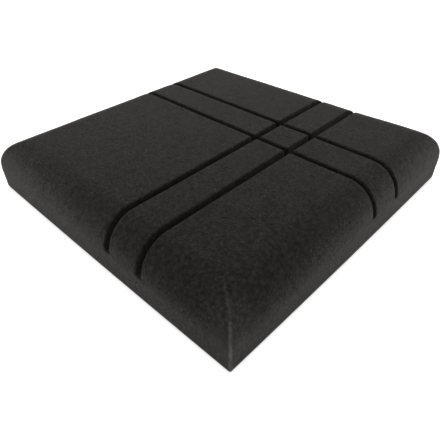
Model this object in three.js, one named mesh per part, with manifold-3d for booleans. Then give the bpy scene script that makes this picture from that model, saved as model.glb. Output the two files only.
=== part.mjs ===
// A square wall tile of open-cell acoustic foam, lying on its back with its sound-absorbing face up.
// The face is cut in two passes at right angles. Each pass rolls two opposite edges over and sinks a pair
// of narrow slots, so the rolled edges meet in mitres at the corners, and the slots cross in one quarter.
// Double-sided fixing pads are stuck to the back, each still under its release liner.
//
// Millimetres, +Z up. +X runs to the right side of the tile and +Y to its back side.
// The origin is under the middle of the tile, in the plane that the release liners lie on.

import * as THREE from "three";
import { mergeVertices } from "three/addons/utils/BufferGeometryUtils.js";
import Module from "manifold-3d";

const wasm = await Module();
wasm.setup();

// Foam tile
const TILE_SIDE = 305;
const TILE_THICKNESS = 51;
const STRAIGHT_SIDE_HEIGHT = 19; // the sides stand straight up to here, and roll over above it
const EDGE_ROLL_WIDTH = 28; // how far in from a side the face becomes flat
const EDGE_ROLL_STEPS = 8; // the outline gets two segments for each of these

// Slots in the face
const SLOT_WIDTH = 6;
const FOAM_UNDER_SLOTS = 23;
const SLOT_PITCH = 38; // between the middles of a pair's slots
const SLOTS_FROM_RIGHT = 88.5; // from the right side to the middle of the pair's nearer slot
const SLOTS_FROM_BACK = 93; // the same from the back side, for the pair that crosses it

// Fixing pads: squares of double-sided foam tape
const PAD_SIDE = 40;
const PAD_THICKNESS = 1;
const PAD_CORNER_RADIUS = 3;
const PAD_FROM_SIDE = 25; // bare foam between a pad and the sides of the tile

// Release liners: as wide as a pad, and longer by a finger tab
const LINER_THICKNESS = 0.15;
const LINER_TAB = 8;

const CORNER_STEPS = 3;

const foam = new THREE.MeshStandardMaterial({ name: "foam", color: 0x353431, roughness: 1, metalness: 0 });
const tape = new THREE.MeshStandardMaterial({ name: "tape", color: 0xe4e2da, roughness: 0.6, metalness: 0 });
const liner = new THREE.MeshStandardMaterial({ name: "liner", color: 0xd9c188, roughness: 0.45, metalness: 0 });

// Booleans between closed geometries

function solidFrom(geometry) {
  const bare = geometry.clone();
  bare.deleteAttribute("normal");
  bare.deleteAttribute("uv");
  const merged = mergeVertices(bare);
  return new wasm.Manifold(
    new wasm.Mesh({
      numProp: 3,
      vertProperties: merged.attributes.position.array,
      triVerts: new Uint32Array(merged.index.array),
    }),
  );
}

function geometryFrom(solid) {
  const mesh = solid.getMesh();
  const geometry = new THREE.BufferGeometry();
  geometry.setAttribute("position", new THREE.BufferAttribute(mesh.vertProperties, mesh.numProp));
  geometry.setIndex(new THREE.BufferAttribute(mesh.triVerts, 1));
  geometry.computeVertexNormals();
  return geometry;
}

// Foam tile

// The outline that one pass leaves, seen along the pass: x runs across the tile and y is the height.
// The pair's nearer slot lies slotsFromSide in from the outline's right-hand side.
function passOutline(slotsFromSide) {
  const half = TILE_SIDE / 2;
  const rollHeight = TILE_THICKNESS - STRAIGHT_SIDE_HEIGHT;
  const flat = half - EDGE_ROLL_WIDTH;
  const nearer = half - slotsFromSide;
  const outline = new THREE.Shape();
  outline.moveTo(-half, 0);
  outline.lineTo(half, 0);
  outline.lineTo(half, STRAIGHT_SIDE_HEIGHT);
  outline.absellipse(flat, STRAIGHT_SIDE_HEIGHT, EDGE_ROLL_WIDTH, rollHeight, 0, Math.PI / 2);
  for (const middle of [nearer, nearer - SLOT_PITCH]) {
    const right = middle + SLOT_WIDTH / 2;
    const left = middle - SLOT_WIDTH / 2;
    outline.lineTo(right, TILE_THICKNESS);
    outline.lineTo(right, FOAM_UNDER_SLOTS);
    outline.lineTo(left, FOAM_UNDER_SLOTS);
    outline.lineTo(left, TILE_THICKNESS);
  }
  outline.lineTo(-flat, TILE_THICKNESS);
  outline.absellipse(-flat, STRAIGHT_SIDE_HEIGHT, EDGE_ROLL_WIDTH, rollHeight, Math.PI / 2, Math.PI);
  outline.closePath();
  return outline;
}

// A block with that outline all the way through from the front side to the back side.
function passGeometry(slotsFromSide) {
  const block = new THREE.ExtrudeGeometry(passOutline(slotsFromSide), {
    depth: TILE_SIDE,
    bevelEnabled: false,
    curveSegments: EDGE_ROLL_STEPS,
  });
  block.rotateX(Math.PI / 2);
  block.translate(0, TILE_SIDE / 2, 0);
  return block;
}

// What both passes leave is the tile.
function tileGeometry() {
  const frontToBack = passGeometry(SLOTS_FROM_RIGHT);
  const leftToRight = passGeometry(SLOTS_FROM_BACK).rotateZ(Math.PI / 2);
  return geometryFrom(solidFrom(frontToBack).intersect(solidFrom(leftToRight)));
}

// Fixing pads and release liners

function roundedRectangle(left, bottom, right, top, radius) {
  const outline = new THREE.Shape();
  outline.moveTo(left + radius, bottom);
  outline.lineTo(right - radius, bottom);
  outline.absarc(right - radius, bottom + radius, radius, -Math.PI / 2, 0);
  outline.lineTo(right, top - radius);
  outline.absarc(right - radius, top - radius, radius, 0, Math.PI / 2);
  outline.lineTo(left + radius, top);
  outline.absarc(left + radius, top - radius, radius, Math.PI / 2, Math.PI);
  outline.lineTo(left, bottom + radius);
  outline.absarc(left + radius, bottom + radius, radius, Math.PI, Math.PI * 1.5);
  return outline;
}

// A flat square of the pads' size, centred on the origin, with its right side drawn out by a tab.
function stickerGeometry(thickness, tab) {
  const half = PAD_SIDE / 2;
  const outline = roundedRectangle(-half, -half, half + tab, half, PAD_CORNER_RADIUS);
  return new THREE.ExtrudeGeometry(outline, {
    depth: thickness,
    bevelEnabled: false,
    curveSegments: CORNER_STEPS,
  });
}

// Where each pad sits, and which way its liner's tab points: outwards, where a thumb reaches it.
function padPlaces() {
  const out = TILE_SIDE / 2 - PAD_FROM_SIDE - PAD_SIDE / 2;
  return [
    { name: "centre", x: 0, y: 0, tabTurn: 0 },
    { name: "front_left", x: -out, y: -out, tabTurn: Math.PI },
    { name: "front_right", x: out, y: -out, tabTurn: 0 },
    { name: "back_left", x: -out, y: out, tabTurn: Math.PI },
    { name: "back_right", x: out, y: out, tabTurn: 0 },
  ];
}

function piece(name, geometry, material) {
  const mesh = new THREE.Mesh(geometry, material);
  mesh.name = name;
  return mesh;
}

function fixing(place) {
  const group = new THREE.Group();
  const pad = piece(`fixing_pad_${place.name}`, stickerGeometry(PAD_THICKNESS, 0), tape);
  pad.position.z = LINER_THICKNESS;
  const cover = piece(`release_liner_${place.name}`, stickerGeometry(LINER_THICKNESS, LINER_TAB), liner);
  cover.rotation.z = place.tabTurn;
  group.add(pad, cover);
  group.position.set(place.x, place.y, 0);
  return group;
}

// Assembly

const panel = new THREE.Group();

const tile = piece("foam_tile", tileGeometry(), foam);
tile.position.z = LINER_THICKNESS + PAD_THICKNESS;
panel.add(tile);

for (const place of padPlaces()) panel.add(fixing(place));

export default panel;
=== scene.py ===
import math

import bmesh
import bpy
import numpy as np
from bpy.props import FloatProperty, FloatVectorProperty, PointerProperty
from mathutils import Matrix, Vector, noise
from mathutils.geometry import delaunay_2d_cdt


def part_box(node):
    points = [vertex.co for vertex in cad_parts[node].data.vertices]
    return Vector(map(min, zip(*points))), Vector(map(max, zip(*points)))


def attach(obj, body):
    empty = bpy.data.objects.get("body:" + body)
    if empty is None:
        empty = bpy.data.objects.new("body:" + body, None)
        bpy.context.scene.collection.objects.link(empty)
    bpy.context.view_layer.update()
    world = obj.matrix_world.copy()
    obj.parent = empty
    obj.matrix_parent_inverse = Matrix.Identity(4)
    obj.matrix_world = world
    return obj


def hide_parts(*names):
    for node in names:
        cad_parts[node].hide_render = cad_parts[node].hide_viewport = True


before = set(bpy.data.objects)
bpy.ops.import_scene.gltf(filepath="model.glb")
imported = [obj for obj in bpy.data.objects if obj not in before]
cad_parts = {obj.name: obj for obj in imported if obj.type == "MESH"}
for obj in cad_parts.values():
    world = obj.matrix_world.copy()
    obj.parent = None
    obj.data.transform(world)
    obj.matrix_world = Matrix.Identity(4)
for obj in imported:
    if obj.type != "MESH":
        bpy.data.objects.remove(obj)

bl_info = {
    "name": "Acoustic Foam Panel",
    "version": (1, 0, 0),
    "blender": (4, 5, 0),
    "location": "View3D > Sidebar > Foam Panel",
    "description": "A square acoustic foam wall tile with crossing slots, and the fixing pads on its back",
    "category": "Add Mesh",
}

# Metres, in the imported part's frame: +Z out of the foam's face, and the origin under its middle.

MM = 0.001
SAME_PLACE = 0.01 * MM  # points closer than this are one point
JOIN_REACH = SAME_PLACE / 5  # corners of the foam's mesh closer than this are joined
FILL_REACH = SAME_PLACE / 10  # the same, while a flat outline is filled with triangles
QUARTER_TURN = math.pi / 2
BODY = "root"  # the part has no joints, so all its pieces ride on this body
PLACES = ("centre", "front_left", "front_right", "back_left", "back_right")
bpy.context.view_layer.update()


def read_tile():
    """The foam tile's sizes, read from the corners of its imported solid."""
    corners = np.array([vertex.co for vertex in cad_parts["foam_tile"].data.vertices])
    low, high = corners.min(axis=0), corners.max(axis=0)

    def levels(axis, rows):
        steps = np.sort(corners[rows, axis])
        return steps[np.append(True, np.diff(steps) > SAME_PLACE)]

    on_face = corners[:, 2] > high[2] - SAME_PLACE
    on_side = corners[:, 0] > high[0] - SAME_PLACE
    _, *walls_x, flat_end = levels(0, on_face)
    _, *walls_y, _ = levels(1, on_face)
    on_wall = (abs(corners[:, 0] - walls_x[0]) < SAME_PLACE) & (abs(corners[:, 1]) < flat_end)
    return {
        "base": float(low[2]),
        "top": float(high[2]),
        "half": float(high[0]),
        "roll_width": float(high[0] - flat_end),
        "straight_height": float(levels(2, on_side)[-1] - low[2]),
        "slot_width": float(walls_x[1] - walls_x[0]),
        "slot_pitch": float(walls_x[2] - walls_x[0]),
        "slots_from_right": float(high[0] - (walls_x[2] + walls_x[3]) / 2),
        "slots_from_back": float(high[1] - (walls_y[2] + walls_y[3]) / 2),
        "under_slots": float(levels(2, on_wall)[0] - low[2]),
    }


PACKED = read_tile()

# Sizes, colours and lights that can be changed


def length(name, text, default):
    return FloatProperty(name=name, description=text, default=default, min=0, unit="LENGTH", precision=5)


def share(name, text, default, most=1):
    return FloatProperty(name=name, description=text, default=default, min=0, max=most, subtype="FACTOR")


def colour(name, text, default):
    return FloatVectorProperty(name=name, description=text, default=default, min=0, max=1, subtype="COLOR")


def angle(name, text, degrees):
    return FloatProperty(name=name, description=text, default=math.radians(degrees), unit="ROTATION")


def power(name, text, watts):
    return FloatProperty(name=name, description=text, default=watts, unit="POWER")


class FoamTileSettings(bpy.types.PropertyGroup):
    """Shape and finish of the foam tile."""

    roll_width: length("Edge Roll Width", "How far in from a side the flat starts", PACKED["roll_width"])
    roll_fullness: FloatProperty(
        name="Roll Fullness", description="2 is an ellipse, and more is squarer", default=2.08, min=1
    )
    straight_height: length("Straight Side", "Height of the sides below the roll", PACKED["straight_height"])
    slot_width: length("Slot Width", "Width that the slots are cut to", PACKED["slot_width"])
    slot_pitch: length("Slot Pitch", "Between the middles of a pair's slots", PACKED["slot_pitch"])
    slots_from_right: length("Slots from Right", "Right side to nearer slot", PACKED["slots_from_right"])
    slots_from_back: length("Slots from Back", "Back side to nearer slot", PACKED["slots_from_back"])
    under_slots: length("Foam under Slots", "Foam between the slots and the back", PACKED["under_slots"])
    closed_lengthwise: length("Closed Lengthwise", "Width lost by the slots from front to back", 0.6 * MM)
    closed_crosswise: length("Closed Crosswise", "Width lost by the slots from left to right", 2 * MM)
    slot_lean: angle("Slot Lean", "How far the two pairs of slots are out of square", 0.57)
    lip_radius: length("Slot Lip", "Rounding where the face turns down into a slot", 1.3 * MM)
    floor_fillet: length("Slot Floor Fillet", "Rounding along the foot of a slot's walls", 1.0 * MM)
    outlet_radius: length("Slot Outlet", "Rounding where a slot's floor meets a side", 0.8 * MM)
    corner_radius: length("Corner Rounding", "Rounding of the upright corners", 1.6 * MM)
    rim_radius: length("Rim Rounding", "Rounding between the sides and the back", 0.7 * MM)
    crease_softness: length("Crease Softness", "How far the crease of two rolls is blunted", 1.6 * MM)
    mesh_pitch: length("Mesh Pitch", "Between the mesh's points on the face", 1.47 * MM)
    bow: length("Bow", "How far each side bulges at its middle", 0.7 * MM)
    end_bulge: length("End Bulge", "How far the right end of the back side bulges", 2.6 * MM)
    waviness: length("Waviness", "Broad unevenness of the cut foam", 0.22 * MM)
    lumpiness: length("Lumpiness", "Unevenness a few cells wide", 0.10 * MM)
    cell_size: length("Cell Size", "Width of one open cell", 1.1 * MM)
    cell_contrast: share("Cell Contrast", "How far the tones of single cells spread", 0.45, most=2)
    grain: share("Grain", "Contrast of clumps of cells", 0.26)
    strut_colour: colour("Struts", "The skeleton of the foam", (0.0260, 0.0251, 0.0234))
    pore_colour: colour("Pores", "The shade inside the open cells", (0.0153, 0.0148, 0.0138))
    speck_colour: colour("Specks", "Cell faces that catch the light", (0.075, 0.073, 0.070))
    # The mitre highlights are a painted highlight: a paler base colour along the mitres, palest towards the
    # back.
    mitre_highlight_colour: colour("Mitre Highlights", "Torn struts where rolls or sides meet", (0.125, 0.121, 0.113))
    edge_width: length("Mitre Highlight Width", "How far the torn struts reach from a mitre", 2.8 * MM)
    mitre_highlight_stray: length("Mitre Highlight Stray", "How far torn struts stray from the crease at the face", 3.6 * MM)
    # The corner light is a painted pool of light: a paler base colour on the front right corner's roll.
    painted_corner_light: share("Corner Light Pool", "How far rubbing has paled the front right corner", 0.13)
    corner_light_reach: length("Light Pool Reach", "How far the rubbing reaches from its middle", 32 * MM)
    sheen: share("Sheen", "Pale look of the struts at a grazing angle", 0.45)
    # The slot sheen is painted shade: the slots' walls and lips get less sheen than the face, so they read
    # darker.
    shaded_slot_sheen: share("Shaded Slot Sheen", "Sheen in the slots, which are cut cleaner", 0.24)
    sheen_roughness: share("Sheen Roughness", "How gradually the sheen sets in", 0.3)
    sheen_tint: colour("Sheen Tint", "Colour of the struts at a grazing angle", (1.0, 0.967, 0.90))


class FixingSettings(bpy.types.PropertyGroup):
    """Finish of the pads and liners on the back."""

    tape_colour: colour("Tape", "Foam tape of the fixing pads", (0.76, 0.75, 0.70))
    liner_colour: colour("Liner", "Coated paper of the release liners", (0.69, 0.53, 0.25))
    corner_radius: length("Pad Corners", "Corner radius of the pads and liners", 3 * MM)
    tab_lift: length("Tab Lift", "How far a liner's finger tab curls up", 0.55 * MM)
    mesh_pitch: length("Mesh Pitch", "Between the mesh's points", 2.5 * MM)


class StudioSettings(bpy.types.PropertyGroup):
    """Floor, lamps and camera."""

    floor_colour: colour("Floor", "Paper that the panel lies on", (0.88, 0.88, 0.88))
    fill: share("Fill", "Light from all around", 0.47, most=4)
    top_power: power("Top Light", "Softbox overhead", 6.6)
    back_power: power("Back Light", "Softbox behind the panel", 2.9)
    camera_azimuth: angle("Azimuth", "Camera's way round from the front", 45.04)
    camera_elevation: angle("Elevation", "Camera's angle above the floor", 38.74)
    camera_roll: angle("Roll", "Camera's tilt about its own axis", -1.23)
    camera_distance: length("Distance", "From the camera to its aim", 345 * MM)
    camera_lens: FloatProperty(name="Lens", description="Focal length", default=34.93, unit="CAMERA")
    camera_shift: FloatProperty(
        name="Shift", description="Sideways shift, as a share of the sensor", default=0.0187
    )


# Meshes


def mesh_object(name, mesh):
    thing = bpy.data.objects.new(name, mesh)
    bpy.context.scene.collection.objects.link(thing)
    return thing


def filled_outline(outline, pitch):
    """Points and triangles that fill a closed flat outline, with a lattice of points inside it."""
    outline = np.asarray(outline)
    count = len(outline)
    low, high = outline.min(axis=0), outline.max(axis=0)
    middle = (low + high) / 2
    reach = [np.arange(-span // 2, span // 2 + 1) * pitch for span in (high - low) // pitch]
    across, along = np.meshgrid(*reach)
    lattice = np.column_stack([across.ravel(), along.ravel()]) + middle
    margin = pitch / 2
    inside = np.all((lattice > low + margin) & (lattice < high - margin), axis=1)
    clear = [point for point in lattice[inside] if np.hypot(*(outline - point).T).min() > margin]
    points = [Vector(point) for point in [*outline, *clear]]
    edges = [(number, (number + 1) % count) for number in range(count)]
    ring = [list(range(count))]
    placed, _, triangles, *_ = delaunay_2d_cdt(points, edges, ring, 1, FILL_REACH)
    return placed, triangles


# Foam tile

FREE = 1.0  # a ceiling above any part of the tile
RIM_STEPS = 2
SIDE_STEPS = 8
ROLL_STEPS = 32
LIP_STEPS = 4
WALL_STEPS = 9
FLOOR_STEPS = 2
LEAN_FADE = 60 * MM  # the slots' lean fades out over this much at the sides
HUMP_SCALE = 27 / 4  # brings the top of the end bulge to 1
LIP_START = 0.05  # lips that are down by less than this share of their rounding look like the face
BACK_PITCH = 6 * MM  # between the mesh's points on the back
WAVE_SIZE = 42 * MM
LUMP_SIZE = 5 * MM
CALM_HEIGHT = 3 * MM  # the foam is even this close to its flat back, which the pads stick to


def quarter(steps):
    """(1 - sine, 1 - cosine) along a quarter turn."""
    return [(1 - math.sin(turn), 1 - math.cos(turn)) for turn in np.linspace(0, QUARTER_TURN, steps + 1)]


# The foam is cut in two passes at right angles. A station is a place across one pass where the mesh has
# a row of points: the place itself, the ceiling that the cut leaves there, how far a slot's lip lowers
# the face there, and 1 in a slot's floor or else 0.


def side_stations(tile):
    """Stations from the foot of one side up to the flat, by their inset from the side."""
    rim = [up * tile.rim_radius for _, up in quarter(RIM_STEPS)]
    heights = [*rim, *np.linspace(tile.rim_radius, tile.straight_height, SIDE_STEPS + 1)[1:-1]]
    rows = [(0, PACKED["base"] + height, 0, 0) for height in heights]
    for turn in np.linspace(0, QUARTER_TURN, ROLL_STEPS + 1):
        rows.append((tile.roll_width * (1 - math.cos(turn)), FREE, 0, 0))
    return rows


def slot_stations(tile, half_width):
    """Stations from the flat down one wall of a slot to the middle of its floor, by distance from there."""
    floor = PACKED["base"] + tile.under_slots
    wall_top = PACKED["top"] - tile.lip_radius
    wall_foot = floor + tile.floor_fillet
    lip = tile.lip_radius
    rows = []
    for outwards, down in quarter(LIP_STEPS):
        rows.append((half_width + outwards * lip, FREE, down * lip, 0))
    for height in np.linspace(wall_top, wall_foot, WALL_STEPS + 1)[1:]:
        rows.append((half_width, height, lip, 0))
    for up, inwards in quarter(LIP_STEPS)[1:]:
        rows.append((half_width - inwards * tile.floor_fillet, floor + up * tile.floor_fillet, lip, 1))
    for distance in np.linspace(half_width - tile.floor_fillet, 0, FLOOR_STEPS + 1)[1:]:
        rows.append((distance, floor, lip, 1))
    return rows


def flat_stations(tile, start, end):
    """Stations between two places on the flat face, without those at the places themselves."""
    steps = max(1, round((end - start) / tile.mesh_pitch))
    return [(place, FREE, 0, 0) for place in np.linspace(start, end, steps + 1)[1:-1]]


def pass_stations(tile, middles, half_width):
    """All stations across one pass, from side to side, as four rows of values."""
    half = PACKED["half"]
    side = side_stations(tile)
    slot = slot_stations(tile, half_width)
    rows = [(inset - half, *rest) for inset, *rest in side]
    for middle in sorted(middles):
        rows += flat_stations(tile, rows[-1][0], middle - slot[0][0])
        rows += [(middle - distance, *rest) for distance, *rest in slot]
        rows += [(middle + distance, *rest) for distance, *rest in slot[-2::-1]]
    rows += flat_stations(tile, rows[-1][0], half - side[-1][0])
    rows += [(half - inset, *rest) for inset, *rest in side[::-1]]
    return np.array(rows).T


def roll_drop(tile, place):
    """How far the edge roll lies below the face at a place across the tile."""
    height = PACKED["top"] - PACKED["base"] - tile.straight_height
    past_flat = abs(place) - (PACKED["half"] - tile.roll_width)
    part = np.clip(past_flat / tile.roll_width, 0, 1)
    return height * (1 - (1 - part**tile.roll_fullness) ** (1 / tile.roll_fullness))


def blunt_maximum(first, second, softness):
    """The larger of two drops, rounded over where they are nearly equal."""
    larger = np.maximum(first, second)
    reach = np.maximum(np.minimum(softness, larger), SAME_PLACE)
    near = np.clip(1 - abs(first - second) / reach, 0, 1)
    return larger + np.where(larger > SAME_PLACE, reach * near**2 / 4, 0)


def outlet_drop(tile, place):
    """How far a slot's floor is rounded down, close to the side that it runs out through."""
    inset = np.clip(PACKED["half"] - abs(place), 0, tile.outlet_radius)
    return tile.outlet_radius - np.sqrt(tile.outlet_radius**2 - (tile.outlet_radius - inset) ** 2)


def rim_reach(tile, z):
    """How far the sides stand out from the middle at a height, with the rim under them rounded."""
    below = np.clip(tile.rim_radius - (z - PACKED["base"]), 0, tile.rim_radius)
    return PACKED["half"] - tile.rim_radius + np.sqrt(tile.rim_radius**2 - below**2)


def upright_faces(tile, middles, half_width):
    """The upright faces across one pass: place, which way the foam lies from it, and lower end."""
    half = PACKED["half"]
    floor = PACKED["base"] + tile.under_slots
    walls = [(middle + side * half_width, side, floor) for middle in middles for side in (-1, 1)]
    return [(-half, 1, 0), (half, -1, 0), *walls]


def round_corners(tile, x, y, z, faces_x, faces_y):
    """Draws the plan in at each upright corner of foam, so that square outlines round it become arcs."""
    radius = tile.corner_radius
    for corner_x, way_x, end_x in faces_x:
        for corner_y, way_y, end_y in faces_y:
            from_x = 1 - (x - corner_x) * way_x / radius
            from_y = 1 - (y - corner_y) * way_y / radius
            near = (from_x >= 0) & (from_y >= 0) & (from_x < 1 + SAME_PLACE) & (from_y < 1 + SAME_PLACE)
            near = near & (z >= max(end_x, end_y))
            away = np.hypot(from_x, from_y)
            keep = np.where(near, np.maximum(from_x, from_y) / np.maximum(away, SAME_PLACE), 1)
            x = np.where(near, corner_x + way_x * radius * (1 - from_x * keep), x)
            y = np.where(near, corner_y + way_y * radius * (1 - from_y * keep), y)
    return x, y


def smooth_rise(place, start, end):
    """0 up to start and 1 from end on, with an eased slope between them."""
    part = np.clip((place - start) / (end - start), 0, 1)
    return part**2 * (3 - 2 * part)


def late_hump(place, start, end):
    """0 at start and at end, and 1 at two thirds of the way."""
    part = np.clip((place - start) / (end - start), 0, 1)
    return HUMP_SCALE * part**2 * (1 - part)


def calm_sides(place):
    """1 over the middle of the tile, and down to 0 at the sides, which stay square."""
    return smooth_rise(PACKED["half"] - abs(place), 0, LEAN_FADE)


def bulge(tile, across, along):
    """How far a place moves outwards where the tile's sides bow: most at the middle of their length."""
    half = PACKED["half"]
    return tile.bow * (across / half) ** 3 * (1 - np.clip(along / half, -1, 1) ** 2)


def slot_middles(tile, from_side):
    """The middles of a pair of slots, of which the nearer one lies that far in from its side."""
    return [PACKED["half"] - from_side - step * tile.slot_pitch for step in (0, 1)]


def tile_sheet(tile):
    """The foam's sides, rolls, face and slots as one grid of points, and which of them lie in a slot."""
    half = PACKED["half"]
    slots_x = slot_middles(tile, tile.slots_from_right)
    slots_y = slot_middles(tile, tile.slots_from_back)
    half_width_x = (tile.slot_width - tile.closed_lengthwise) / 2
    half_width_y = (tile.slot_width - tile.closed_crosswise) / 2
    stations_x = pass_stations(tile, slots_x, half_width_x)
    stations_y = pass_stations(tile, slots_y, half_width_y)
    place_x, ceiling_x, lip_x, floor_x = (values[:, None] for values in stations_x)
    place_y, ceiling_y, lip_y, floor_y = (values[None, :] for values in stations_y)
    drop = blunt_maximum(roll_drop(tile, place_x), roll_drop(tile, place_y), tile.crease_softness)
    surface = PACKED["top"] - drop
    above_floor = surface - PACKED["base"] - tile.under_slots
    lip_share = np.clip(above_floor / (2 * tile.lip_radius), 0, 1)
    surface = surface - lip_share * np.maximum(lip_x, lip_y)
    ceiling_x = ceiling_x - floor_x * outlet_drop(tile, place_y)
    ceiling_y = ceiling_y - floor_y * outlet_drop(tile, place_x)
    z = np.minimum(surface, np.minimum(ceiling_x, ceiling_y))
    # Points in a slot, lips included, get the slots' copy of the foam, whose lower sheen is painted shade.
    in_shaded_slot = (np.maximum(lip_x, lip_y) > LIP_START * tile.lip_radius) & (above_floor > 0)
    reach = rim_reach(tile, z)
    x, y = np.clip(place_x, -reach, reach), np.clip(place_y, -reach, reach)
    faces_x = upright_faces(tile, slots_x, half_width_x)
    faces_y = upright_faces(tile, slots_y, half_width_y)
    x, y = round_corners(tile, x, y, z, faces_x, faces_y)
    x, y = x - tile.slot_lean * y * calm_sides(x), y - tile.slot_lean * x * calm_sides(y)
    x, y = x + bulge(tile, x, y), y + bulge(tile, y, x)
    y = y + tile.end_bulge * late_hump(x, slots_x[0], half) * smooth_rise(y, slots_y[0], half)
    return np.stack([x, y, z], axis=-1), in_shaded_slot


def rim_of(sheet):
    """The sheet's outermost points in order, seen from above, with no point twice."""
    around = np.concatenate([sheet[:-1, 0], sheet[-1, :-1], sheet[:0:-1, -1], sheet[0, :0:-1]])[:, :2]
    step = np.hypot(*(around - np.roll(around, 1, axis=0)).T)
    return around[step > JOIN_REACH]


def roughen(tile, soft):
    """Moves the points in and out by a few tenths of a millimetre."""
    soft.normal_update()
    moves = []
    for vertex in soft.verts:
        share_up = min(1, (vertex.co.z - PACKED["base"]) / CALM_HEIGHT)
        wave = noise.noise(vertex.co / WAVE_SIZE) * tile.waviness
        lump = noise.noise(vertex.co / LUMP_SIZE) * tile.lumpiness
        moves.append(vertex.normal * (share_up * (wave + lump)))
    for vertex, move in zip(soft.verts, moves):
        vertex.co += move


def foam_mesh(tile):
    """The whole foam tile as one closed mesh, slightly uneven as cut foam is."""
    sheet, in_shaded_slot = tile_sheet(tile)
    rows, columns, _ = sheet.shape
    number = np.arange(rows * columns).reshape(rows, columns)
    quads = np.stack([number[:-1, :-1], number[1:, :-1], number[1:, 1:], number[:-1, 1:]], axis=-1)
    mesh = bpy.data.meshes.new("foam_block")
    mesh.from_pydata(sheet.reshape(-1, 3), [], quads.reshape(-1, 4))
    # Faces in a slot or on its lip get the second material, whose lower sheen is painted shade.
    cut = in_shaded_slot[:-1, :-1] | in_shaded_slot[1:, :-1] | in_shaded_slot[1:, 1:] | in_shaded_slot[:-1, 1:]
    mesh.polygons.foreach_set("material_index", cut.ravel().astype(np.int32))
    soft = bmesh.new()
    soft.from_mesh(mesh)
    points, triangles = filled_outline(rim_of(sheet), BACK_PITCH)
    back = [soft.verts.new((*point, PACKED["base"])) for point in points]
    for triangle in triangles:
        soft.faces.new([back[corner] for corner in triangle])
    bmesh.ops.remove_doubles(soft, verts=soft.verts, dist=JOIN_REACH)
    bmesh.ops.recalc_face_normals(soft, faces=soft.faces)
    if any(not edge.is_manifold for edge in soft.edges):
        raise RuntimeError("the foam tile's mesh isn't closed")
    roughen(tile, soft)
    soft.to_mesh(mesh)
    soft.free()
    mesh.shade_smooth()
    return mesh


# Pads and liners

CORNER_STEPS = 6
TAB_LENGTH = 8 * MM  # how far a liner's finger tab sticks out past its pad


def rounded_outline(low, high, radius):
    """A rectangle with round corners, anticlockwise, as points in the plan."""
    points = []
    for way_x, way_y, start in ((1, 1, 0), (-1, 1, 1), (-1, -1, 2), (1, -1, 3)):
        centre_x = (high[0] if way_x > 0 else low[0]) - way_x * radius
        centre_y = (high[1] if way_y > 0 else low[1]) - way_y * radius
        for turn in np.linspace(0, QUARTER_TURN, CORNER_STEPS + 1) + start * QUARTER_TURN:
            points.append((centre_x + radius * math.cos(turn), centre_y + radius * math.sin(turn)))
    return points


def slab_mesh(name, outline, pitch, bottom, thickness):
    """A flat or bent slab, from its outline, the height of its bottom at a point, and its thickness."""
    points, triangles = filled_outline(outline, pitch)
    count = len(outline)
    lower = [(*point, bottom(point)) for point in points]
    upper = [(x, y, z + thickness) for x, y, z in lower]
    faces = [tuple(triangle[::-1]) for triangle in triangles]
    faces += [tuple(corner + len(points) for corner in triangle) for triangle in triangles]
    for near in range(count):
        far = (near + 1) % count
        faces.append((near, far, far + len(points), near + len(points)))
    mesh = bpy.data.meshes.new(name)
    mesh.from_pydata(lower + upper, [], faces)
    return mesh


def tab_height(fixing, pad, point, base):
    """How high a liner lies at a point: flat under its pad, and curling up along its finger tab."""
    low, high = pad
    past = max(low.x - point.x, point.x - high.x, 0)
    return base + fixing.tab_lift * min(1, past / TAB_LENGTH) ** 2


# Shader nodes


def fill_inputs(tree, made, inputs):
    """Sets or links a node's inputs, by name or number."""
    for name, value in inputs.items():
        if isinstance(value, bpy.types.NodeSocket):
            tree.links.new(value, made.inputs[name])
        else:
            made.inputs[name].default_value = value


def node(tree, kind, at, inputs=None, **settings):
    """A new node, with its settings, and with values or links for its inputs."""
    made = tree.nodes.new(kind)
    made.location = at
    for name, value in settings.items():
        setattr(made, name, value)
    fill_inputs(tree, made, inputs or {})
    return made


def maths(tree, operation, at, *values):
    return node(tree, "ShaderNodeMath", at, dict(enumerate(values)), operation=operation).outputs[0]


def blend_colours(tree, at, factor, first, second, blend_type="MIX"):
    """Two colours mixed; a Mix node has those at inputs 6 and 7, and their mixture at output 2."""
    inputs = {0: factor, 6: first, 7: second}
    mixed = node(tree, "ShaderNodeMix", at, inputs, data_type="RGBA", blend_type=blend_type)
    return mixed.outputs[2]


def eased(tree, at, value, start, end):
    """0 at start and 1 at end, with an eased slope between them."""
    inputs = {"Value": value, "From Min": start, "From Max": end}
    return node(tree, "ShaderNodeMapRange", at, inputs, interpolation_type="SMOOTHSTEP").outputs[0]


def bump(tree, at, height, distance):
    return node(tree, "ShaderNodeBump", at, {"Height": height, "Distance": distance}).outputs["Normal"]


def opaque(rgb):
    return (*rgb, 1)


def empty_tree(owner):
    """The node tree of a new material or world, with nothing in it."""
    owner.use_nodes = True
    owner.node_tree.nodes.clear()
    return owner.node_tree


# Effects that more than one material uses

GLINT_CORE = 0.2  # a glint is full up to this distance from its cell's middle, in cells
GLINT_EDGE = 0.4  # and gone from here on
DEPTH_SPREAD = 0.5  # how much the depth of cells varies, against the height of their struts
NOISE_SPREAD = 4  # brings the noise texture, which stays near its middle, out to about -1 to 1


def new_group(name, inputs, outputs):
    """An empty shader group: inputs are given by name, kind and default, and outputs by name."""
    tree = bpy.data.node_groups.new(name, "ShaderNodeTree")
    for socket_name, kind, default in inputs:
        socket = tree.interface.new_socket(name=socket_name, in_out="INPUT", socket_type=kind)
        if default is not None:
            socket.default_value = default
    for socket_name in outputs:
        tree.interface.new_socket(name=socket_name, in_out="OUTPUT", socket_type="NodeSocketFloat")
    return tree


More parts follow.
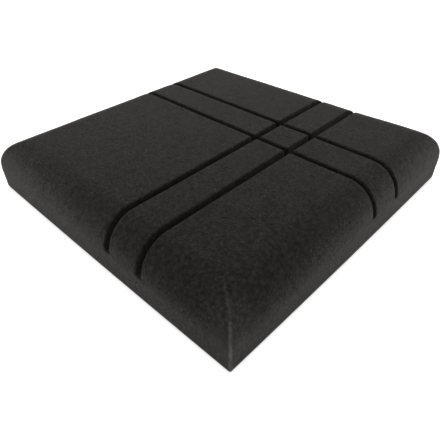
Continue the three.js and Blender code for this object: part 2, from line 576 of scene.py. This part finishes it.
def cell_group():
    """Foam cells: pale struts round dark pores, a tone for each cell, and glints in a few of them."""
    inputs = [
        ("Vector", "NodeSocketVector", None),
        ("Cell Size", "NodeSocketFloat", MM),
        ("Strut Width", "NodeSocketFloat", 0.25),
        ("Tone Spread", "NodeSocketFloat", 0.3),
        ("Specks", "NodeSocketFloat", 0.01),
    ]
    tree = new_group("Foam Cells", inputs, ["Strut", "Height", "Tone", "Speck"])
    given = node(tree, "NodeGroupInput", (-900, 0)).outputs
    per_metre = maths(tree, "DIVIDE", (-700, -100), 1, given["Cell Size"])
    place = {"Vector": given["Vector"], "Scale": per_metre}
    walls = node(tree, "ShaderNodeTexVoronoi", (-500, 150), place, feature="DISTANCE_TO_EDGE").outputs
    cells = node(tree, "ShaderNodeTexVoronoi", (-500, -200), place, feature="F1").outputs
    falling = {"To Min": 1, "To Max": 0}
    to_wall = {"Value": walls["Distance"], "From Max": given["Strut Width"], **falling}
    strut = node(tree, "ShaderNodeMapRange", (-250, 150), to_wall, interpolation_type="SMOOTHSTEP")
    parts = node(tree, "ShaderNodeSeparateColor", (-250, -200), {"Color": cells["Color"]}).outputs
    lucky = maths(tree, "LESS_THAN", (-50, -200), parts["Red"], given["Specks"])
    to_middle = {"Value": cells["Distance"], "From Min": GLINT_CORE, "From Max": GLINT_EDGE, **falling}
    glint = node(tree, "ShaderNodeMapRange", (-250, -400), to_middle)
    speck = maths(tree, "MULTIPLY", (150, -250), lucky, glint.outputs[0])
    uneven = maths(tree, "MULTIPLY_ADD", (-50, 0), parts["Green"], DEPTH_SPREAD, strut.outputs[0])
    centred = maths(tree, "SUBTRACT", (-50, -500), parts["Blue"], 0.5)
    tone = maths(tree, "MULTIPLY_ADD", (150, -450), centred, given["Tone Spread"], 1)
    results = {"Strut": strut.outputs[0], "Height": uneven, "Tone": tone, "Speck": speck}
    node(tree, "NodeGroupOutput", (400, 0), results)
    return tree


def mottle_group():
    """A factor close to 1 that varies over the surface in patches of one size."""
    inputs = [
        ("Vector", "NodeSocketVector", None),
        ("Patch Size", "NodeSocketFloat", MM),
        ("Contrast", "NodeSocketFloat", 0.1),
        ("Detail", "NodeSocketFloat", 2.0),
    ]
    tree = new_group("Mottle", inputs, ["Factor"])
    given = node(tree, "NodeGroupInput", (-700, 0)).outputs
    per_metre = maths(tree, "DIVIDE", (-500, -100), 1, given["Patch Size"])
    place = {"Vector": given["Vector"], "Scale": per_metre, "Detail": given["Detail"]}
    patches = node(tree, "ShaderNodeTexNoise", (-300, 0), place)
    centred = maths(tree, "SUBTRACT", (-100, 0), patches.outputs["Fac"], 0.5)
    spread = maths(tree, "MULTIPLY", (100, 0), centred, NOISE_SPREAD)
    factor = maths(tree, "MULTIPLY_ADD", (300, 0), spread, given["Contrast"], 1)
    node(tree, "NodeGroupOutput", (500, 0), {"Factor": factor})
    return tree


def place_group(tree, at, name, build, values):
    """Places the named effect in a material, with its inputs' values, and builds it the first time."""
    group = bpy.data.node_groups.get(name) or build()
    return node(tree, "ShaderNodeGroup", at, values, node_tree=group).outputs


def foam_cells(tree, at, coordinates, size, strut_width, tone_spread=0, specks=0):
    """The foam cells' outputs. Specks is the share of cells that glint, and strut width is in cells."""
    values = {"Vector": coordinates, "Cell Size": size, "Strut Width": strut_width}
    values.update({"Tone Spread": tone_spread, "Specks": specks})
    return place_group(tree, at, "Foam Cells", cell_group, values)


def mottle(tree, at, coordinates, size, contrast, detail):
    values = {"Vector": coordinates, "Patch Size": size, "Contrast": contrast, "Detail": detail}
    return place_group(tree, at, "Mottle", mottle_group, values)["Factor"]


# Materials

STRUT_WIDTH = 0.22  # in cells
SPECK_SHARE = 0.02
CLUMP_SIZE = 3 * MM
CLUMP_RELIEF = 0.5  # against the height of a cell's struts
PATCH_SIZE = 55 * MM
PATCH_CONTRAST = 0.04
CELL_DEPTH = 0.12 * MM
STRUT_SMOOTHNESS = 0.12  # how much less rough than 1 the struts are

# Painted highlight along the mitres: where it sets in, fades out and strays from the crease.
HIGHLIGHT_ONSET = 0.3  # the pale mitre edges set in over this share of a roll's width
HIGHLIGHT_FADE = 4 * MM  # above the face, where they would be down to nothing
HIGHLIGHT_FULL = 22 * MM  # above the back, where they are at their palest
HIGHLIGHT_STRAY_DEPTH = 9 * MM  # below the face, where they start to stray from the crease

LIGHT_POOL_INSET = 4 * MM  # from both sides to the middle of the painted pool of light
LIGHT_POOL_HEIGHT = 35 * MM  # of that middle above the back
LIGHT_POOL_CORE = 5 * MM  # how far from it the rubbing is full

TAPE_CELL = 0.35 * MM
TAPE_STRUT_WIDTH = 0.3
TAPE_PATCH = 6 * MM
TAPE_PITTING = 0.10  # how far the tape's pits darken it
TAPE_ROUGHNESS = 0.55
TAPE_DEPTH = 0.03 * MM

FIBRE_SIZE = 0.8 * MM
CLOUD_SIZE = 9 * MM
LINER_ROUGHNESS = 0.38
FIBRE_DEPTH = 0.05 * MM


def new_material(name):
    """A material with only its Principled shader, and the piece's own coordinates."""
    material = bpy.data.materials.new(name)
    tree = empty_tree(material)
    output = node(tree, "ShaderNodeOutputMaterial", (900, 0))
    shader = node(tree, "ShaderNodeBsdfPrincipled", (600, 0))
    tree.links.new(shader.outputs[0], output.inputs["Surface"])
    coordinates = node(tree, "ShaderNodeTexCoord", (-1300, 0)).outputs["Object"]
    return material, tree, shader, coordinates


def mitre_highlight_mask(tree, tile, coordinates):
    """Painted highlight: 1 on the edges where rolls or sides meet, fading to 0 at the edge width, and 0 on
    face and back.
    """
    base, top = PACKED["base"], PACKED["top"]
    flat = PACKED["half"] - tile.roll_width
    parts = node(tree, "ShaderNodeSeparateXYZ", (-1300, -600), {"Vector": coordinates}).outputs
    across = maths(tree, "ABSOLUTE", (-1100, -550), parts["X"])
    along = maths(tree, "ABSOLUTE", (-1100, -700), parts["Y"])
    stray = eased(tree, (-1100, -400), parts["Z"], top - HIGHLIGHT_STRAY_DEPTH, top)
    strayed = maths(tree, "MULTIPLY_ADD", (-900, -400), stray, tile.mitre_highlight_stray, across)
    apart = maths(tree, "SUBTRACT", (-900, -550), strayed, along)
    apart = maths(tree, "ABSOLUTE", (-700, -550), apart)
    outer = maths(tree, "MAXIMUM", (-900, -700), across, along)
    line = eased(tree, (-500, -550), apart, tile.edge_width, 0)
    rolled = eased(tree, (-500, -700), outer, flat, flat + HIGHLIGHT_ONSET * tile.roll_width)
    lower = eased(tree, (-500, -850), parts["Z"], top + HIGHLIGHT_FADE, base + HIGHLIGHT_FULL)
    lifted = eased(tree, (-500, -1000), parts["Z"], base, base + MM)
    edge = maths(tree, "MULTIPLY", (-300, -600), line, rolled)
    sides = maths(tree, "MULTIPLY", (-300, -850), lower, lifted)
    return maths(tree, "MULTIPLY", (-100, -650), edge, sides)


def corner_light_pool(tree, tile, coordinates):
    """Painted pool of light: 1 in the middle of the front right corner's roll, fading to 0 all round it."""
    inset = PACKED["half"] - LIGHT_POOL_INSET
    middle = (inset, -inset, PACKED["base"] + LIGHT_POOL_HEIGHT)
    points = {0: coordinates, 1: middle}
    away = node(tree, "ShaderNodeVectorMath", (-700, -1200), points, operation="DISTANCE")
    return eased(tree, (-500, -1200), away.outputs["Value"], tile.corner_light_reach, LIGHT_POOL_CORE)


def foam_material(tile, name, sheen):
    """Charcoal open-cell foam, with painted highlights along its mitres and a painted pool of light on its
    front right corner.
    """
    material, tree, shader, coordinates = new_material(name)
    spread = tile.cell_contrast
    cells = foam_cells(tree, (-800, 200), coordinates, tile.cell_size, STRUT_WIDTH, spread, SPECK_SHARE)
    clumps = mottle(tree, (-800, -50), coordinates, CLUMP_SIZE, tile.grain, detail=0)
    patches = mottle(tree, (-800, -300), coordinates, PATCH_SIZE, PATCH_CONTRAST, detail=1)
    pores, struts = opaque(tile.pore_colour), opaque(tile.strut_colour)
    skeleton = blend_colours(tree, (-500, 200), cells["Strut"], pores, struts)
    # Painted light: the corner's pool of light and the mitres' highlights pale the base colour here.
    light_pool = corner_light_pool(tree, tile, coordinates)
    light_pool = maths(tree, "MULTIPLY", (-500, 450), light_pool, tile.painted_corner_light)
    edge = maths(tree, "MAXIMUM", (-400, 350), mitre_highlight_mask(tree, tile, coordinates), light_pool)
    painted_light_base = blend_colours(tree, (-300, 300), edge, skeleton, opaque(tile.mitre_highlight_colour))
    vary = maths(tree, "MULTIPLY", (-500, -100), clumps, patches)
    vary = maths(tree, "MULTIPLY", (-300, -100), vary, cells["Tone"])
    varied = blend_colours(tree, (-100, 200), 1, painted_light_base, vary, "MULTIPLY")
    specked = blend_colours(tree, (100, 200), cells["Speck"], varied, opaque(tile.speck_colour))
    height = maths(tree, "MULTIPLY_ADD", (-300, -250), clumps, CLUMP_RELIEF, cells["Height"])
    looks = {
        "Base Color": specked,
        "Roughness": maths(tree, "MULTIPLY_ADD", (0, -50), cells["Strut"], -STRUT_SMOOTHNESS, 1),
        "Normal": bump(tree, (200, -250), height, CELL_DEPTH),
        "Specular IOR Level": 0,
        "Sheen Weight": sheen,
        "Sheen Roughness": tile.sheen_roughness,
        "Sheen Tint": opaque(tile.sheen_tint),
    }
    fill_inputs(tree, shader, looks)
    return material


def tape_material(fixing):
    """White closed-cell foam tape with a film of adhesive."""
    material, tree, shader, coordinates = new_material("foam_tape")
    cells = foam_cells(tree, (-800, 200), coordinates, TAPE_CELL, TAPE_STRUT_WIDTH)
    patches = mottle(tree, (-800, -100), coordinates, TAPE_PATCH, contrast=0.04, detail=3)
    tape = opaque(fixing.tape_colour)
    pits = blend_colours(tree, (-500, 200), TAPE_PITTING, tape, cells["Strut"], "MULTIPLY")
    looks = {
        "Base Color": blend_colours(tree, (-300, 150), 1, pits, patches, "MULTIPLY"),
        "Roughness": maths(tree, "MULTIPLY", (-200, -100), patches, TAPE_ROUGHNESS),
        "Normal": bump(tree, (200, -250), cells["Height"], TAPE_DEPTH),
    }
    fill_inputs(tree, shader, looks)
    return material


def liner_material(fixing):
    """Waxy coated paper, with its fibres showing through."""
    material, tree, shader, coordinates = new_material("coated_paper")
    fibres = mottle(tree, (-800, 200), coordinates, FIBRE_SIZE, contrast=0.07, detail=4)
    clouds = mottle(tree, (-800, -100), coordinates, CLOUD_SIZE, contrast=0.08, detail=2)
    vary = maths(tree, "MULTIPLY", (-500, 0), fibres, clouds)
    paper = opaque(fixing.liner_colour)
    looks = {
        "Base Color": blend_colours(tree, (-300, 150), 1, paper, vary, "MULTIPLY"),
        "Roughness": maths(tree, "MULTIPLY", (-200, -100), clouds, LINER_ROUGHNESS),
        "Normal": bump(tree, (200, -250), vary, FIBRE_DEPTH),
    }
    fill_inputs(tree, shader, looks)
    return material


# Stage

CAMERA_AIM = Vector((59.8, -73.2, 26.15)) * MM
FLOOR_REACH = 3.0
FLOOR_LIFT = 0.62  # glow that brings the paper up to the white of the background
SOFTBOX_SIZE = 0.8
TOP_SOFTBOX = (0, 0, 1.3)
BACK_SOFTBOX = (-0.591, 0.591, 0.996)


def seen_as_background(tree, at):
    """1 for rays that show the background: to the camera, and by way of gloss or glass."""
    rays = node(tree, "ShaderNodeLightPath", at).outputs
    x, y = at
    mirrored = maths(tree, "MAXIMUM", (x + 200, y), rays["Is Glossy Ray"], rays["Is Transmission Ray"])
    return maths(tree, "MAXIMUM", (x + 400, y), rays["Is Camera Ray"], mirrored)


def floor_material(studio):
    """Pale paper that reads as white, keeps the shadow, and doesn't hide the panel from below."""
    material = bpy.data.materials.new("floor_paper")
    tree = empty_tree(material)
    paper = node(tree, "ShaderNodeBsdfDiffuse", (0, 0), {"Color": opaque(studio.floor_colour)})
    seen = seen_as_background(tree, (-700, 200))
    strength = maths(tree, "MULTIPLY", (-100, 200), seen, FLOOR_LIFT)
    lift = node(tree, "ShaderNodeEmission", (100, 200), {"Strength": strength})
    both = node(tree, "ShaderNodeAddShader", (300, 0), {0: paper.outputs[0], 1: lift.outputs[0]})
    clear = node(tree, "ShaderNodeBsdfTransparent", (300, -200))
    under = node(tree, "ShaderNodeNewGeometry", (300, 300)).outputs["Backfacing"]
    choice = {0: under, 1: both.outputs[0], 2: clear.outputs[0]}
    shown = node(tree, "ShaderNodeMixShader", (600, 0), choice)
    node(tree, "ShaderNodeOutputMaterial", (900, 0), {"Surface": shown.outputs[0]})
    return material


def make_floor(studio):
    corners = [(x * FLOOR_REACH, y * FLOOR_REACH, 0) for x, y in ((-1, -1), (1, -1), (1, 1), (-1, 1))]
    mesh = bpy.data.meshes.new("floor")
    mesh.from_pydata(corners, [], [(0, 1, 2, 3)])
    mesh.materials.append(floor_material(studio))
    mesh_object("floor", mesh)


def make_world(studio):
    """Even light from all around, with a white background behind it."""
    world = bpy.data.worlds.new("studio")
    tree = empty_tree(world)
    seen = seen_as_background(tree, (-900, 0))
    levels = {"Value": seen, "To Min": studio.fill, "To Max": 1}
    strength = node(tree, "ShaderNodeMapRange", (-200, 0), levels).outputs[0]
    light = {"Color": opaque((1, 1, 1)), "Strength": strength}
    sky = node(tree, "ShaderNodeBackground", (0, 0), light)
    node(tree, "ShaderNodeOutputWorld", (200, 0), {"Surface": sky.outputs[0]})
    bpy.context.scene.world = world


def make_softbox(name, place, watts):
    """A square area lamp that points at the origin."""
    light = bpy.data.lights.new(name, "AREA")
    light.shape = "SQUARE"
    light.size = SOFTBOX_SIZE
    light.energy = watts
    lamp = bpy.data.objects.new(name, light)
    lamp.location = place
    lamp.rotation_euler = (Vector() - Vector(place)).to_track_quat("-Z", "Y").to_euler()
    bpy.context.scene.collection.objects.link(lamp)


def make_camera(studio):
    data = bpy.data.cameras.new("camera")
    data.lens = studio.camera_lens
    data.shift_x = studio.camera_shift
    camera = bpy.data.objects.new("camera", data)
    around = Matrix.Rotation(studio.camera_azimuth, 4, "Z")
    up = Matrix.Rotation(QUARTER_TURN - studio.camera_elevation, 4, "X")
    tilt = Matrix.Rotation(studio.camera_roll, 4, "Z")
    turned = around @ up @ tilt
    back = turned.to_3x3().col[2]
    camera.matrix_world = Matrix.Translation(CAMERA_AIM + back * studio.camera_distance) @ turned
    bpy.context.scene.collection.objects.link(camera)
    bpy.context.scene.camera = camera


# Operators


class FOAMPANEL_OT_tile(bpy.types.Operator):
    """Makes the foam tile"""

    bl_idname = "foampanel.tile"
    bl_label = "Foam Tile"

    def execute(self, context):
        tile = context.scene.foam_tile
        block = mesh_object("foam_block", foam_mesh(tile))
        block.data.materials.append(foam_material(tile, "open_cell_foam", tile.sheen))
        # The slots' copy of the foam has less sheen: painted shade for the slots' walls and lips.
        block.data.materials.append(foam_material(tile, "shaded_slot_walls", tile.shaded_slot_sheen))
        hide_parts("foam_tile")
        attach(block, BODY)
        return {"FINISHED"}


class FOAMPANEL_OT_pads(bpy.types.Operator):
    """Makes the foam tape pads on the tile's back"""

    bl_idname = "foampanel.pads"
    bl_label = "Fixing Pads"

    def execute(self, context):
        fixing = context.scene.foam_fixing
        material = tape_material(fixing)
        for place in PLACES:
            low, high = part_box(f"fixing_pad_{place}")
            outline = rounded_outline(low, high, fixing.corner_radius)

            def bottom(point):
                return low.z

            thickness = high.z - low.z
            mesh = slab_mesh(f"tape_square_{place}", outline, fixing.mesh_pitch, bottom, thickness)
            square = mesh_object(mesh.name, mesh)
            square.data.materials.append(material)
            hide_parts(f"fixing_pad_{place}")
            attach(square, BODY)
        return {"FINISHED"}


class FOAMPANEL_OT_liners(bpy.types.Operator):
    """Makes the release liner on each pad"""

    bl_idname = "foampanel.liners"
    bl_label = "Release Liners"

    def execute(self, context):
        fixing = context.scene.foam_fixing
        material = liner_material(fixing)
        for place in PLACES:
            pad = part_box(f"fixing_pad_{place}")
            low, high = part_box(f"release_liner_{place}")
            outline = rounded_outline(low, high, fixing.corner_radius)

            def bottom(point):
                return tab_height(fixing, pad, point, low.z)

            thickness = high.z - low.z
            mesh = slab_mesh(f"liner_paper_{place}", outline, fixing.mesh_pitch, bottom, thickness)
            paper = mesh_object(mesh.name, mesh)
            paper.data.materials.append(material)
            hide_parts(f"release_liner_{place}")
            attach(paper, BODY)
        return {"FINISHED"}


class FOAMPANEL_OT_stage(bpy.types.Operator):
    """Makes the floor, the lamps and the camera"""

    bl_idname = "foampanel.stage"
    bl_label = "Stage"

    def execute(self, context):
        studio = context.scene.foam_studio
        make_camera(studio)
        make_world(studio)
        make_floor(studio)
        make_softbox("top_softbox", TOP_SOFTBOX, studio.top_power)
        make_softbox("back_softbox", BACK_SOFTBOX, studio.back_power)
        context.scene.view_settings.view_transform = "Standard"
        return {"FINISHED"}


# Panel and registration

SETTINGS = {"foam_tile": FoamTileSettings, "foam_fixing": FixingSettings, "foam_studio": StudioSettings}
SECTIONS = (
    ("foam_studio", (FOAMPANEL_OT_stage,)),
    ("foam_tile", (FOAMPANEL_OT_tile,)),
    ("foam_fixing", (FOAMPANEL_OT_pads, FOAMPANEL_OT_liners)),
)


class VIEW3D_PT_foam_panel(bpy.types.Panel):
    """Sizes, colours and steps of the foam panel"""

    bl_label = "Acoustic Foam Panel"
    bl_space_type = "VIEW_3D"
    bl_region_type = "UI"
    bl_category = "Foam Panel"

    def draw(self, context):
        for group, steps in SECTIONS:
            settings = getattr(context.scene, group)
            box = self.layout.box()
            for name in settings.__annotations__:
                box.prop(settings, name)
            for step in steps:
                box.operator(step.bl_idname)


CLASSES = (
    *SETTINGS.values(),
    FOAMPANEL_OT_stage,
    FOAMPANEL_OT_tile,
    FOAMPANEL_OT_pads,
    FOAMPANEL_OT_liners,
    VIEW3D_PT_foam_panel,
)


def register():
    for kind in CLASSES:
        bpy.utils.register_class(kind)
    for name, kind in SETTINGS.items():
        setattr(bpy.types.Scene, name, PointerProperty(type=kind))


def unregister():
    for name in SETTINGS:
        delattr(bpy.types.Scene, name)
    for kind in reversed(CLASSES):
        bpy.utils.unregister_class(kind)


def main():
    register()
    bpy.ops.foampanel.stage()
    bpy.ops.foampanel.tile()
    bpy.ops.foampanel.pads()
    bpy.ops.foampanel.liners()


if __name__ == "__main__":
    main()
